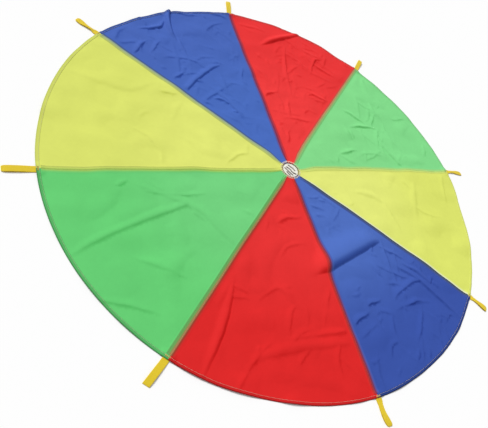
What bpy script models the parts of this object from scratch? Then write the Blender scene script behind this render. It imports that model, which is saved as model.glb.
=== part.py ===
"""Play parachute: eight taffeta gores sewn into a flat round canopy, laid out on a floor.

The rim is hemmed and carries a loop of webbing at every seam, and a round net closes the vent in
the middle. The canopy folds in half along the seams of handles 1 and 5, and each loop turns at the rim.
Metres, +Z up, origin on the floor under the middle of the vent, +X towards handle 1.
"""

import math

import bmesh
import bpy
from mathutils import Matrix, Vector
from mathutils.geometry import delaunay_2d_cdt

# Canopy cloth. A solid layer is thicker than the real taffeta, so that it stays sound.
canopy_radius = 1.0
gore_count = 8
cloth_thickness = 0.0005
vent_radius = 0.037
hem_width = 0.012
lap_width = 0.015
layer_step = 0.0015
gore_colours = ("green", "red", "blue", "yellow")
# Each seam's lap lies on the gore before the seam, but at this one it lies on the gore after it.
turned_lap = 8

# Clearances between neighbouring solids.
seam_gap = 0.0003
rest_gap = 0.0003
hinge_gap = 0.0003
thread_gap = 0.0005

# Folds of the laid cloth: a width, then points of the crest as x, y and height. Widths are shares of
# fold_half_width, places are shares of canopy_radius and heights are shares of fold_height.
fold_height = 0.020
fold_half_width = 0.042
floor_cut = 0.0005
fold_shares = (
    (1.0, ((-0.34, 0.38, 0.2), (-0.16, 0.435, 0.75), (-0.01, 0.475, 1.0))),
    (1.0, ((-0.01, 0.475, 1.0), (0.12, 0.47, 0.5), (0.36, 0.42, 0.15))),
    (0.7, ((-0.22, 0.64, 0.15), (-0.12, 0.69, 0.4), (-0.02, 0.735, 0.3))),
    (0.8, ((-0.57, 0.79, 0.15), (-0.53, 0.70, 0.35), (-0.47, 0.60, 0.15))),
    (0.7, ((-0.44, 0.59, 0.15), (-0.37, 0.50, 0.3))),
    (0.6, ((-0.16, 0.22, 0.25), (-0.09, 0.13, 0.2))),
    (0.7, ((0.60, 0.74, 0.1), (0.50, 0.61, 0.35), (0.42, 0.50, 0.2))),
    (0.8, ((0.12, 0.76, 0.1), (0.30, 0.74, 0.25), (0.46, 0.76, 0.1))),
    (0.7, ((0.50, 0.17, 0.3), (0.70, 0.24, 0.25), (0.92, 0.33, 0.15))),
    (0.7, ((0.38, 0.35, 0.15), (0.44, 0.27, 0.3), (0.50, 0.17, 0.3))),
    (0.9, ((-0.62, 0.30, 0.15), (-0.68, 0.18, 0.3), (-0.73, 0.07, 0.15))),
    (0.7, ((-0.46, 0.20, 0.15), (-0.38, 0.155, 0.3), (-0.30, 0.13, 0.1))),
    (0.8, ((-0.68, -0.04, 0.2), (-0.60, -0.22, 0.45), (-0.47, -0.41, 0.2))),
    (0.7, ((-0.62, -0.28, 0.15), (-0.50, -0.275, 0.3), (-0.43, -0.27, 0.15))),
    (0.9, ((-0.42, -0.885, 0.2), (-0.26, -0.845, 0.5), (-0.12, -0.785, 0.2))),
    (0.7, ((-0.19, -0.50, 0.15), (-0.22, -0.65, 0.35), (-0.27, -0.80, 0.15))),
    (0.7, ((-0.38, -0.42, 0.15), (-0.24, -0.42, 0.3), (-0.06, -0.44, 0.2))),
    (0.8, ((0.38, -0.41, 0.3), (0.25, -0.54, 0.5), (0.13, -0.63, 0.15))),
    (0.7, ((0.335, -0.72, 0.2), (0.355, -0.80, 0.6), (0.345, -0.89, 0.3))),
    (0.7, ((0.38, -0.85, 0.35), (0.46, -0.80, 0.45), (0.53, -0.765, 0.15))),
    (0.7, ((0.55, -0.61, 0.3), (0.49, -0.70, 0.3), (0.44, -0.74, 0.1))),
    (0.8, ((0.52, -0.42, 0.1), (0.66, -0.385, 0.25), (0.87, -0.47, 0.1))),
    (0.8, ((0.20, -0.22, 0.15), (0.33, -0.37, 0.3))),
)

# Handle loops: webbing doubled back on itself, with its sewn end under the hem.
webbing_width = 0.025
webbing_thickness = 0.0014
loop_length = 0.098
loop_swell = 0.0041
loop_seam_length = 0.008
tail_length = 0.0105
tail_bevel_share = 0.8
rim_to_hinge = 0.004
twist_end_share = 0.5
# How each loop lies: sideways at its tip and at its middle as shares of its length, its twist as a
# share of a quarter turn, and how far its two layers stand apart as a share of the usual swell.
loop_lie_shares = (
    (-0.03, 0.0, 0.0, 1.0),
    (-0.08, 0.0, 0.0, 1.0),
    (0.05, -0.05, 0.0, 1.0),
    (0.01, 0.0, 0.0, 1.15),
    (-0.06, -0.02, 0.35, 1.5),
    (0.06, 0.0, 0.0, 2.6),
    (-0.18, 0.0, 0.0, 1.0),
    (0.0, 0.06, 0.65, 1.15),
)

# Cloth over the sewn ends and over the net.
cover_margin = 0.001
cover_ramp = 0.022

# Net over the vent, sewn on by a zigzag thread.
net_radius = 0.046
net_thickness = 0.0005
net_pitch = 0.008
net_bar = 0.0018
net_plain_edge = 0.004

# Threads.
thread_radius = 0.0004
seam_thread_inset = 0.0035
hem_thread_inset = 0.0022
zigzag_past_vent = 0.0025
zigzag_past_net = 0.0035
zigzag_count = 44
thread_end_gap = 0.002
tack_width = 0.019
tack_inner = 0.0080
tack_outer = 0.0020
tack_count = 9

# Half fold: its axis lies above the highest fold, so the two halves lie on each other without touching.
fold_clearance = 0.002

# Facets.
seam_pitch = 0.11
rim_steps = 10
vent_steps = 4
fill_pitch = 0.15
crest_pitch = 0.075
loop_steps = 10
root_steps = 4
net_steps = 48
cut_tolerance = 1e-7

gore_angle = 2 * math.pi / gore_count
hinge_radius = canopy_radius + rim_to_hinge
tail_height = 2 * webbing_thickness
fold_axis_height = fold_height + fold_clearance
hem_inner = canopy_radius - hem_width
thread_rise = thread_gap + thread_radius
zigzag_inner_radius = vent_radius + zigzag_past_vent
zigzag_outer_radius = net_radius + zigzag_past_net
teardrop_peak = 4 / (3 * math.sqrt(3))


def clear_scene():
    for thing in list(bpy.data.objects):
        bpy.data.objects.remove(thing, do_unlink=True)


def make_collection(name):
    collection = bpy.data.collections.new(name)
    bpy.context.scene.collection.children.link(collection)
    return collection


def make_material(name, colour, roughness):
    """A cloth, webbing or thread finish."""
    material = bpy.data.materials.new(name)
    material.use_nodes = True
    shader = material.node_tree.nodes["Principled BSDF"]
    shader.inputs["Base Color"].default_value = (*colour, 1.0)
    shader.inputs["Roughness"].default_value = roughness
    shader.inputs["Metallic"].default_value = 0.0
    return material


cloth_colours = {
    "green": (0.13, 0.62, 0.17),
    "red": (0.72, 0.03, 0.03),
    "blue": (0.06, 0.11, 0.46),
    "yellow": (0.70, 0.80, 0.15),
}
webbing_colour = (0.78, 0.56, 0.03)
thread_colour = (0.80, 0.74, 0.55)
net_colour = (0.85, 0.84, 0.80)


def add_piece(name, mesh, material, parent=None, place=None):
    """A named object, placed in the world and then hung on its parent."""
    piece = bpy.data.objects.new(name, mesh)
    piece.data.materials.clear()
    piece.data.materials.append(material)
    parachute.objects.link(piece)
    if place is not None:
        piece.matrix_world = place
    if parent is not None:
        piece.parent = parent
        piece.matrix_parent_inverse = parent.matrix_world.inverted()
    return piece


def seam_place(number, height=0.0):
    """The frame of a seam's end: origin on the handle's hinge, X outwards, Y along the rim, Z up."""
    angle = (number - 1) * gore_angle
    outwards = Matrix.Rotation(angle, 4, "Z")
    return outwards @ Matrix.Translation((hinge_radius, 0.0, height))


def across_seam(number, radius, offset):
    """The point at this radius that lies the offset to the side of a seam, in plan."""
    angle = (number - 1) * gore_angle
    along = math.sqrt(radius * radius - offset * offset)
    return Vector(
        (
            along * math.cos(angle) - offset * math.sin(angle),
            along * math.sin(angle) + offset * math.cos(angle),
        )
    )


def from_seam(number, x, y):
    """How far along a seam and to its side a point lies, in plan."""
    angle = (number - 1) * gore_angle
    along = x * math.cos(angle) + y * math.sin(angle)
    side = y * math.cos(angle) - x * math.sin(angle)
    return along, side


def fold_rise(x, y):
    """The height of the folds alone: each has a rounded crest that runs out flat at its sides and ends."""
    tallest = 0.0
    for width_share, crest in fold_shares:
        half_width = width_share * fold_half_width
        for (x0, y0, share0), (x1, y1, share1) in zip(crest, crest[1:]):
            start = Vector((x0, y0)) * canopy_radius
            run = Vector((x1, y1)) * canopy_radius - start
            way = (Vector((x, y)) - start).dot(run) / run.length_squared
            way = min(max(way, 0.0), 1.0)
            distance = (Vector((x, y)) - start - way * run).length
            flank = max(0.0, 1 - (distance / half_width) ** 2) ** 2
            share = share0 + (share1 - share0) * way
            tallest = max(tallest, fold_height * share * flank)
    return tallest


def cover_rise(x, y):
    """How far the cloth is held up by the sewn ends of the webbing and by the net."""
    edge = net_radius + cover_margin
    past = max(0.0, math.hypot(x, y) - edge)
    rise = (net_thickness + rest_gap) * max(0.0, 1 - past / cover_ramp)
    for number in range(1, gore_count + 1):
        along, side = from_seam(number, x, y)
        past_side = max(0.0, abs(side) - webbing_width / 2 - cover_margin)
        past_end = max(0.0, canopy_radius - tail_length - cover_margin - along)
        past = math.hypot(past_side, past_end)
        rise = max(rise, (tail_height + rest_gap) * max(0.0, 1 - past / cover_ramp))
    return rise


def underside(x, y):
    """The cloth's lower face, which lies flat on the floor between the folds."""
    return max(0.0, fold_rise(x, y) - floor_cut, cover_rise(x, y))


def lapped_sides(number):
    """The seams whose lap lies on this gore, with its side: 1 at the gore's first seam, -1 at its last."""
    sides = []
    if number == turned_lap:
        sides.append((number, 1))
    if number + 1 != turned_lap:
        sides.append((number + 1, -1))
    return sides


def ramp_share(distance, width):
    """1 up to the width, falling to 0 over one layer step beyond it."""
    return min(max((width + layer_step - distance) / layer_step, 0.0), 1.0)


def thickness(number, x, y):
    """One layer of cloth, or two in the hem and in a lap."""
    second = ramp_share(canopy_radius - math.hypot(x, y), hem_width)
    for seam, side in lapped_sides(number):
        along, offset = from_seam(seam, x, y)
        second = max(second, ramp_share(side * offset, seam_gap / 2 + lap_width))
    return cloth_thickness * (1 + second)


def topside(number, x, y):
    return underside(x, y) + thickness(number, x, y)


def steps_between(low, high, pitch):
    """Evenly spaced values from low to high, about a pitch apart."""
    count = max(1, round((high - low) / pitch))
    return [low + (high - low) * step / count for step in range(count + 1)]


class Plan:
    """Lines drawn on a gore's plan, triangulated so that each of them is kept."""

    def __init__(self):
        self.points = []
        self.edges = []

    def line(self, points, closed=False):
        """Adds a line and returns its edges' numbers."""
        first = len(self.points)
        self.points += [Vector(point) for point in points]
        last = len(self.points)
        pairs = [(index, index + 1) for index in range(first, last - 1)]
        if closed:
            pairs.append((last - 1, first))
        numbers = range(len(self.edges), len(self.edges) + len(pairs))
        self.edges += pairs
        return set(numbers)

    def triangulate(self):
        return delaunay_2d_cdt(self.points, self.edges, [], 0, cut_tolerance, True)


def is_inside(x, y, outline):
    """Whether a point lies in a closed outline, by counting the sides that a ray crosses."""
    found = False
    for start, end in zip(outline, outline[1:] + outline[:1]):
        if (start.y > y) != (end.y > y):
            crossing = start.x + (y - start.y) * (end.x - start.x) / (end.y - start.y)
            if x < crossing:
                found = not found
    return found


def arc_across(number, radius, steps):
    """Points on a circle from a gore's first cut edge to its second."""
    first = across_seam(number, radius, seam_gap / 2)
    last = across_seam(number + 1, radius, -seam_gap / 2)
    angles = [(number - 1 + step / steps) * gore_angle for step in range(1, steps)]
    return [first] + [radius * Vector((math.cos(a), math.sin(a))) for a in angles] + [last]


def cut_edge(seam, side):
    """Points along a gore's cut edge, from the vent to the rim."""
    radii = steps_between(vent_radius, canopy_radius, seam_pitch)
    return [across_seam(seam, radius, side * seam_gap / 2) for radius in radii]


def draw_covers(plan, seam, side):
    """Lines where the cloth starts to rise over a sewn end of webbing, and where it lies on it."""
    for spread in (0.0, cover_ramp):
        reach = webbing_width / 2 + cover_margin + spread
        inner = canopy_radius - tail_length - cover_margin - spread
        corner = across_seam(seam, math.hypot(inner, reach), side * reach)
        plan.line(
            [
                across_seam(seam, inner, side * seam_gap / 2),
                corner,
                across_seam(seam, canopy_radius, side * reach),
            ]
        )


def draw_folds(plan):
    """Each fold's crest, its flanks and its feet."""
    for width_share, crest in fold_shares:
        half_width = width_share * fold_half_width
        places = [Vector((x, y)) * canopy_radius for x, y, _ in crest]
        for offset_share in (-1.0, -0.5, 0.0, 0.5, 1.0):
            line = []
            for start, end in zip(places, places[1:]):
                run = end - start
                side = Vector((-run.y, run.x)).normalized() * half_width * offset_share
                stops = steps_between(0.0, 1.0, crest_pitch / run.length)
                line += [start + run * stop + side for stop in stops]
            plan.line([point for point in line if point.length < canopy_radius])


def fill_points(number):
    """Loose points that keep the triangles of the flat cloth from growing too long."""
    points = []
    for radius in steps_between(vent_radius, hem_inner, fill_pitch)[1:-1]:
        count = max(1, round(radius * gore_angle / fill_pitch))
        for step in range(count):
            angle = (number - 1 + (step + 0.5) / count) * gore_angle
            points.append(radius * Vector((math.cos(angle), math.sin(angle))))
    return points


def thread_path(number, plan_result, edge_numbers, order):
    """The points of a thread that lies on a gore along one of the plan's lines."""
    points, edges, _, _, origins, _ = plan_result
    used = set()
    for ends, origin in zip(edges, origins):
        if edge_numbers & set(origin):
            used |= set(ends)
    path = sorted((points[index] for index in used), key=order)
    return [Vector((p.x, p.y, topside(number, p.x, p.y) + thread_rise)) for p in path]


def gore_mesh(name, plan_result, outline, number):
    """The gore's cloth as a closed solid: its plan at the height of its underside, given its layers."""
    points, _, faces = plan_result[:3]
    mesh = bpy.data.meshes.new(name)
    shape = bmesh.new()
    corners = [shape.verts.new((p.x, p.y, underside(p.x, p.y))) for p in points]
    for face in faces:
        middle = sum((points[index] for index in face), Vector((0.0, 0.0))) / len(face)
        if is_inside(middle.x, middle.y, outline):
            shape.faces.new([corners[index] for index in face])
    loose = [vert for vert in shape.verts if not vert.link_faces]
    bmesh.ops.delete(shape, geom=loose, context="VERTS")
    raised = bmesh.ops.extrude_face_region(shape, geom=shape.faces[:], use_keep_orig=True)
    for vert in (item for item in raised["geom"] if isinstance(item, bmesh.types.BMVert)):
        vert.co.z += thickness(number, vert.co.x, vert.co.y)
    bmesh.ops.recalc_face_normals(shape, faces=shape.faces[:])
    shape.to_mesh(mesh)
    shape.free()
    return mesh


def make_gore(number):
    """Plans one gore, and returns its mesh, its seam threads' paths and its stretch of hem thread."""
    name = f"gore_{number}_{gore_colours[(number - 1) % len(gore_colours)]}"
    plan = Plan()
    rim = arc_across(number, canopy_radius, rim_steps)
    vent = arc_across(number, vent_radius, vent_steps)
    first_edge = cut_edge(number, 1)
    second_edge = cut_edge(number + 1, -1)
    outline = first_edge + rim[1:-1] + second_edge[::-1] + vent[::-1][1:-1]
    plan.line(outline, closed=True)
    for radius in (hem_inner, hem_inner - layer_step):
        plan.line(arc_across(number, radius, rim_steps))
    hem_thread = plan.line(arc_across(number, hem_inner + hem_thread_inset, rim_steps))
    for radius in (net_radius + cover_margin, net_radius + cover_margin + cover_ramp):
        plan.line(arc_across(number, radius, vent_steps))
    seam_threads = []
    thread_radii = steps_between(
        zigzag_outer_radius + thread_end_gap, hem_inner - thread_end_gap, seam_pitch
    )
    for seam, side in lapped_sides(number):
        lap = seam_gap / 2 + lap_width
        for offset in (lap, lap + layer_step):
            radii = steps_between(vent_radius, canopy_radius, seam_pitch)
            plan.line([across_seam(seam, radius, side * offset) for radius in radii])
        offset = side * (lap - seam_thread_inset)
        drawn = plan.line([across_seam(seam, radius, offset) for radius in thread_radii])
        seam_threads.append(((seam - 1) % gore_count + 1, drawn))
    draw_covers(plan, number, 1)
    draw_covers(plan, number + 1, -1)
    draw_folds(plan)
    plan.points += fill_points(number)
    result = plan.triangulate()
    mesh = gore_mesh(name, result, outline, number)
    middle = (number - 0.5) * gore_angle
    turned = Matrix.Rotation(-middle, 2)
    seam_paths = [
        (seam, thread_path(number, result, drawn, lambda point: point.length))
        for seam, drawn in seam_threads
    ]
    hem_path = thread_path(number, result, hem_thread, lambda point: (turned @ point).y)
    return name, mesh, seam_paths, hem_path


def tube_mesh(name, points, radius, cyclic=False):
    """A thread as a mesh: a thin tube along the points, closed at its ends."""
    curve = bpy.data.curves.new(name, "CURVE")
    curve.dimensions = "3D"
    curve.bevel_depth = radius
    curve.bevel_resolution = 0
    curve.use_fill_caps = not cyclic
    spline = curve.splines.new("POLY")
    spline.points.add(len(points) - 1)
    for slot, point in zip(spline.points, points):
        slot.co = (*point, 1.0)
    spline.use_cyclic_u = cyclic
    return mesh_of_curve(name, curve)


def plate_mesh(name, outlines, half_thickness):
    """A flat plate from outlines in plan, the first its rim and the others its holes."""
    curve = bpy.data.curves.new(name, "CURVE")
    curve.dimensions = "2D"
    curve.fill_mode = "BOTH"
    curve.extrude = half_thickness
    for outline in outlines:
        spline = curve.splines.new("POLY")
        spline.points.add(len(outline) - 1)
        for slot, (x, y) in zip(spline.points, outline):
            slot.co = (x, y, 0.0, 1.0)
        spline.use_cyclic_u = True
    return mesh_of_curve(name, curve)


def mesh_of_curve(name, curve):
    """Turns a curve into a welded mesh and removes the curve."""
    guide = bpy.data.objects.new(name + "_guide", curve)
    parachute.objects.link(guide)
    bpy.context.view_layer.update()
    evaluated = guide.evaluated_get(bpy.context.evaluated_depsgraph_get())
    mesh = bpy.data.meshes.new_from_object(evaluated)
    mesh.name = name
    bpy.data.objects.remove(guide, do_unlink=True)
    bpy.data.curves.remove(curve)
    shape = bmesh.new()
    shape.from_mesh(mesh)
    bmesh.ops.remove_doubles(shape, verts=shape.verts[:], dist=cut_tolerance)
    bmesh.ops.recalc_face_normals(shape, faces=shape.faces[:])
    shape.to_mesh(mesh)
    shape.free()
    return mesh


def teardrop(share):
    """The half width of a drop at a share of its length, 1 at its widest."""
    return 2 * share * math.sqrt(max(0.0, 1 - share)) / teardrop_peak


def drop_side(end, root, swell):
    """One side of a drop that starts at the end of the loop's seam, where its half width is the root's."""
    side = []
    for step in range(loop_steps + 1):
        share = (1 - math.cos(math.pi * step / loop_steps)) / 2
        along = loop_seam_length + (end - loop_seam_length) * share
        side.append((along, root + swell * teardrop(share)))
    return side


def mirrored(side):
    return [(x, -y) for x, y in side]


def loop_outlines(swell):
    """The loop seen along the rim: sewn layers, rounded where they hinge, then a drop round the opening."""
    outer = [(0.0, webbing_thickness)] + drop_side(loop_length, webbing_thickness, swell)
    turns = [math.pi * (0.5 + step / root_steps) for step in range(1, root_steps)]
    root = [(webbing_thickness * math.cos(t), webbing_thickness * math.sin(t)) for t in turns]
    inner = drop_side(loop_length - webbing_thickness, 0.0, swell)
    rim = root + mirrored(outer) + outer[::-1]
    hole = inner + mirrored(inner[1:-1])[::-1]
    return [rim, hole]


def cut_across(mesh, columns):
    """Cuts a flat loop's faces at each column of its outline, so that they can follow its twist."""
    shape = bmesh.new()
    shape.from_mesh(mesh)
    for column in columns:
        geometry = shape.verts[:] + shape.edges[:] + shape.faces[:]
        bmesh.ops.bisect_plane(
            shape, geom=geometry, dist=cut_tolerance, plane_co=(column, 0.0, 0.0), plane_no=(1.0, 0.0, 0.0)
        )
    shape.to_mesh(mesh)
    shape.free()


def lay_loop(mesh, lean_share, sway_share, twist_share, swell):
    """Moves a straight loop's points to where it lies: leaning, swaying or twisted, low edge on the floor."""
    upright = Matrix.Rotation(math.pi / 2, 3, "X")
    for vert in mesh.vertices:
        along, side, high = upright @ vert.co
        share = (along - loop_seam_length) / (loop_length - loop_seam_length)
        share = min(max(share, 0.0), 1.0)
        turn = 0.0
        if share < twist_end_share:
            turn = math.pi / 2 * twist_share * math.sin(math.pi * share / twist_end_share) ** 2
        depth = webbing_thickness + swell * teardrop(share)
        centre = webbing_width / 2 * abs(math.sin(turn)) + depth * math.cos(turn)
        sideways = loop_length * (lean_share * share + sway_share * math.sin(math.pi * share))
        vert.co = (
            along,
            sideways + side * math.cos(turn) - high * math.sin(turn),
            centre - webbing_thickness + side * math.sin(turn) + high * math.cos(turn),
        )


def make_loop(number, parent, material):
    lean_share, sway_share, twist_share, swell_share = loop_lie_shares[(number - 1) % len(loop_lie_shares)]
    name = f"handle_loop_{number}"
    swell = loop_swell * swell_share
    rim, hole = loop_outlines(swell)
    mesh = plate_mesh(name, [rim, hole], webbing_width / 2)
    cut_across(mesh, sorted({x for x, _ in rim if 0.0 < x < loop_length}))
    lay_loop(mesh, lean_share, sway_share, twist_share, swell)
    return add_piece(name, mesh, material, parent, seam_place(number, webbing_thickness))


def make_tail(number, parent, material):
    """The webbing's two ends, sewn under the hem and stopping just short of the loop's root."""
    name = f"handle_tail_{number}"
    outer = -webbing_thickness - hinge_gap
    inner = -rim_to_hinge - tail_length
    mesh = bpy.data.meshes.new(name)
    shape = bmesh.new()
    bmesh.ops.create_cube(shape, size=1.0)
    size = (outer - inner, webbing_width, tail_height)
    bmesh.ops.scale(shape, vec=size, verts=shape.verts[:])
    bmesh.ops.translate(shape, vec=((outer + inner) / 2, 0.0, 0.0), verts=shape.verts[:])
    shape.to_mesh(mesh)
    shape.free()
    tail = add_piece(name, mesh, material, parent, seam_place(number, webbing_thickness))
    bevel = tail.modifiers.new("worn_edges", "BEVEL")
    bevel.width = tail_bevel_share * webbing_thickness
    bevel.segments = 1
    return tail


def make_bar_tack(number, parent, material):
    """The zigzag of thread that holds a handle, on the hem over its sewn ends."""
    name = f"bar_tack_{number}"
    height = tail_height + rest_gap + 2 * cloth_thickness + thread_rise
    points = []
    for step in range(2 * tack_count + 1):
        inset = tack_inner if step % 2 else tack_outer
        side = tack_width * (step / (2 * tack_count) - 0.5)
        points.append((-rim_to_hinge - inset, side, 0.0))
    mesh = tube_mesh(name, points, thread_radius)
    return add_piece(name, mesh, material, parent, seam_place(number, height))


def net_holes():
    """Square gaps on a square grid, all inside the net's plain edge."""
    reach = vent_radius - net_plain_edge
    half_gap = (net_pitch - net_bar) / 2
    count = int(reach / net_pitch) + 1
    holes = []
    for column in range(-count, count + 1):
        for row in range(-count, count + 1):
            x, y = column * net_pitch, row * net_pitch
            if math.hypot(abs(x) + half_gap, abs(y) + half_gap) < reach:
                corners = ((-1, -1), (1, -1), (1, 1), (-1, 1))
                holes.append([(x + a * half_gap, y + b * half_gap) for a, b in corners])
    return holes


def make_net(parent, material):
    """The round net under the gores' inner ends."""
    turns = [2 * math.pi * step / net_steps for step in range(net_steps)]
    rim = [(net_radius * math.cos(t), net_radius * math.sin(t)) for t in turns]
    mesh = plate_mesh("vent_net", [rim] + net_holes(), net_thickness / 2)
    place = Matrix.Translation((0.0, 0.0, net_thickness / 2))
    return add_piece("vent_net", mesh, material, parent, place)


def make_zigzag(parent, material):
    """The zigzag thread that sews the gores' inner ends to the net."""
    height = net_thickness + rest_gap + 2 * cloth_thickness + thread_rise
    points = []
    for step in range(2 * zigzag_count):
        radius = zigzag_outer_radius if step % 2 else zigzag_inner_radius
        turn = math.pi * step / zigzag_count
        points.append((radius * math.cos(turn), radius * math.sin(turn), height))
    mesh = tube_mesh("vent_zigzag", points, thread_radius, cyclic=True)
    return add_piece("vent_zigzag", mesh, material, parent)


def make_parachute():
    cloths = {name: make_material(f"{name}_taffeta", colour, 0.45) for name, colour in cloth_colours.items()}
    webbing = make_material("yellow_webbing", webbing_colour, 0.7)
    thread = make_material("sewing_thread", thread_colour, 0.6)
    net = make_material("white_net", net_colour, 0.6)

    fold_axis = bpy.data.objects.new("canopy_fold_axis", None)
    fold_axis.location = (0.0, 0.0, fold_axis_height)
    parachute.objects.link(fold_axis)
    bpy.context.view_layer.update()

    hems = {"near": [], "far": []}
    for number in range(1, gore_count + 1):
        half, parent = ("near", fold_axis) if number <= gore_count // 2 else ("far", None)
        name, mesh, seam_paths, hem_path = make_gore(number)
        colour = gore_colours[(number - 1) % len(gore_colours)]
        add_piece(name, mesh, cloths[colour], parent)
        hems[half] += hem_path
        for seam, path in seam_paths:
            thread_name = f"seam_thread_{seam}"
            add_piece(thread_name, tube_mesh(thread_name, path, thread_radius), thread, parent)
    for half, path in hems.items():
        name = f"hem_thread_{half}"
        parent = fold_axis if half == "near" else None
        add_piece(name, tube_mesh(name, path, thread_radius), thread, parent)

    for number in range(1, gore_count + 1):
        parent = fold_axis if 1 < number <= gore_count // 2 else None
        make_loop(number, parent, webbing)
        make_tail(number, parent, webbing)
        make_bar_tack(number, parent, thread)
    make_net(None, net)
    make_zigzag(None, thread)


clear_scene()
parachute = make_collection("play_parachute")
make_parachute()
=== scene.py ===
"""Play parachute laid out on a floor: eight taffeta gores, hemmed, with webbing loops and a vent net."""

import math

import bpy
import bmesh
import numpy as np
from mathutils import Matrix, Vector
from mathutils.geometry import delaunay_2d_cdt


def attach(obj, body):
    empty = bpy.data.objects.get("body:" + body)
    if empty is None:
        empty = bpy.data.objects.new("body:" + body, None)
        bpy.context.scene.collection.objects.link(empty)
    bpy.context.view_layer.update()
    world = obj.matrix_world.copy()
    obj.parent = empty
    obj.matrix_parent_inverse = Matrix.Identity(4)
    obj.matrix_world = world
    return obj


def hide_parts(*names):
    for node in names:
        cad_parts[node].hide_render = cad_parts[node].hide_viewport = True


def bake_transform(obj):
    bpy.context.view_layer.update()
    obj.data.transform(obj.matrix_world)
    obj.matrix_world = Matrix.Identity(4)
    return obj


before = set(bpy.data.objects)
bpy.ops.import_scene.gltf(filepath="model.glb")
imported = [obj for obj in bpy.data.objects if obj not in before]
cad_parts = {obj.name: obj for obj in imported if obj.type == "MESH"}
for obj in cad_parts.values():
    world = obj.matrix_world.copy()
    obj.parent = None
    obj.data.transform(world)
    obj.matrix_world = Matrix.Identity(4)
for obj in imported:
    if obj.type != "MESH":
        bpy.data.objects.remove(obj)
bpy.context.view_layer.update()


# Camera. It looks down on the canopy from beyond handle 2, rolled to one side as the photograph is,
# and its picture is a crop whose middle lies off the lens's axis.
picture_width = 488
focal_pixels = 463.9
axis_right_pixels = 31.3
axis_down_pixels = 26.6
camera_azimuth = math.radians(127.58)
camera_elevation = math.radians(50.78)
camera_roll = math.radians(40.33)
camera_distance = 1.817
aim = Vector((0.1943, 0.3391, 0.0))

back = Vector(
    (
        math.sin(camera_azimuth) * math.cos(camera_elevation),
        -math.cos(camera_azimuth) * math.cos(camera_elevation),
        math.sin(camera_elevation),
    )
)
level_right = Vector((math.cos(camera_azimuth), math.sin(camera_azimuth), 0.0))
upright = back.cross(level_right)
right = math.cos(camera_roll) * level_right + math.sin(camera_roll) * upright
up = math.cos(camera_roll) * upright - math.sin(camera_roll) * level_right
eye = aim + back * camera_distance
lens = bpy.data.cameras.new("camera")
lens.sensor_width = 36.0
lens.lens = focal_pixels / picture_width * lens.sensor_width
lens.shift_x = -axis_right_pixels / picture_width
lens.shift_y = axis_down_pixels / picture_width
camera = bpy.data.objects.new("camera", lens)
camera.matrix_world = Matrix.Translation(eye) @ Matrix((right, up, back)).transposed().to_4x4()
bpy.context.scene.collection.objects.link(camera)
bpy.context.scene.camera = camera
bpy.context.scene.view_settings.view_transform = "Standard"


# Floor and light. A plain white studio floor, an even white room and one wide, soft lamp from the
# left of the view, which together light a level surface to just the colour that is written.
floor_reach = 30.0
floor_colour = (0.99, 0.99, 0.99)
room_share = 0.40
lamp_share = 0.60
lamp_spread = math.radians(28)
lamp_from = Vector((0.38, -0.90, 1.0))


class Amount:
    """A number that changes over a surface, reckoned with as plain numbers are."""

    def __init__(self, finish, socket):
        self.finish = finish
        self.socket = socket

    def reckon(self, operation, first, second):
        node = self.finish.node("ShaderNodeMath", {"operation": operation}, {0: first, 1: second})
        return Amount(self.finish, node.outputs[0])

    def __add__(self, other):
        return self.reckon("ADD", self, other)

    def __radd__(self, other):
        return self.reckon("ADD", other, self)

    def __mul__(self, other):
        return self.reckon("MULTIPLY", self, other)

    def __rmul__(self, other):
        return self.reckon("MULTIPLY", other, self)


class Finish:
    """The nodes of a material, or of the room's light."""

    def __init__(self, block):
        block.use_nodes = True
        self.block = block
        self.tree = block.node_tree

    def node(self, kind, settings=None, sockets=None):
        """Adds a node: first its settings, then the values or links of its sockets."""
        node = self.tree.nodes.new(kind)
        for name, value in (settings or {}).items():
            setattr(node, name, value)
        for key, value in (sockets or {}).items():
            self.feed(node.inputs[key], value)
        return node

    def feed(self, socket, value):
        """Gives a socket a link or a constant."""
        if isinstance(value, Amount):
            self.tree.links.new(value.socket, socket)
        elif isinstance(value, bpy.types.NodeSocket):
            self.tree.links.new(value, socket)
        elif socket.type == "RGBA":
            socket.default_value = (*value, 1.0)
        else:
            socket.default_value = value

    def amount(self, kind, settings=None, sockets=None, output=0):
        """Adds a node and gives one of its outputs as a number."""
        return Amount(self, self.node(kind, settings, sockets).outputs[output])

    def mix(self, share, first, second, blend_type="MIX"):
        """A colour between two."""
        settings = {"data_type": "RGBA", "blend_type": blend_type}
        return self.node("ShaderNodeMix", settings, {0: share, 6: first, 7: second}).outputs[2]

    def principled(self, **sockets):
        """Sets the sockets of the surface's own shader, named with underscores for spaces."""
        shader = self.tree.nodes["Principled BSDF"]
        for name, value in sockets.items():
            self.feed(shader.inputs[name.replace("_", " ")], value)

    def surface(self, colour, roughness, gloss, relief, strength, **sockets):
        """Finishes the material, with its relief in metres."""
        bump = self.node("ShaderNodeBump", None, {"Strength": strength, "Distance": 1.0, "Height": relief})
        self.principled(
            Base_Color=colour,
            Roughness=roughness,
            Specular_IOR_Level=gloss,
            Normal=bump.outputs[0],
            **sockets,
        )
        return self.block

    def place(self):
        return self.node("ShaderNodeTexCoord").outputs["Object"]

    def dyed_and_shaded(self):
        """The colours that the points of a cloth have, with their painted light and shade."""
        return self.node("ShaderNodeAttribute", {"attribute_name": "dye_and_shade"}).outputs["Color"]

    def noise(self, place, scale, detail, settings=None, **sockets):
        sockets = {"Vector": place, "Scale": scale, "Detail": detail, **sockets}
        return self.amount("ShaderNodeTexNoise", settings, sockets)

    def stripes(self, place, scale, distortion, detail, **settings):
        sockets = {"Vector": place, "Scale": scale, "Distortion": distortion, "Detail": detail}
        return self.amount("ShaderNodeTexWave", settings, sockets, output=1)


def add_object(name, data):
    data.name = name
    thing = bpy.data.objects.new(name, data)
    bpy.context.scene.collection.objects.link(thing)
    return thing


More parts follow.
